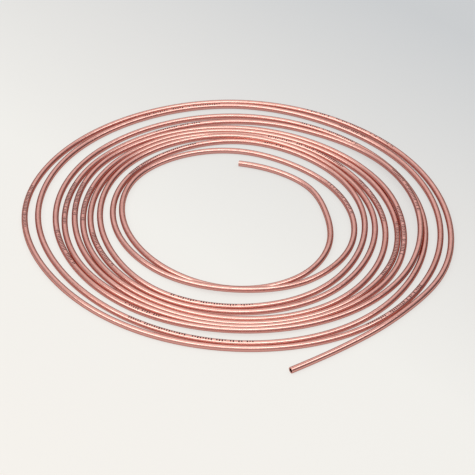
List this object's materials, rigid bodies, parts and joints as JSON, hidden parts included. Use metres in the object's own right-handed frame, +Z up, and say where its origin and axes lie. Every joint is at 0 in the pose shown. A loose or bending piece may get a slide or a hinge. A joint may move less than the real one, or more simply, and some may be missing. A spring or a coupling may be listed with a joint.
{
  "type": "copper tube coil",
  "caption": "Loose flat coil of bright soft copper tube, wound clockwise from its middle in one open layer, with both ends cut square and open.",
  "frame": {"origin": "on the floor, under the middle of the coil's box", "axes": "+Z up through the coil's open centre, the outer end on the -Y side, +X across the coil"},
  "size_m": [0.4234, 0.4518, 0.0105],
  "materials": {
    "copper": "drawn bright copper, lightly dulled"
  },
  "bodies": {
    "root": {"copper_tube": "copper"}
  },
  "joints": []
}
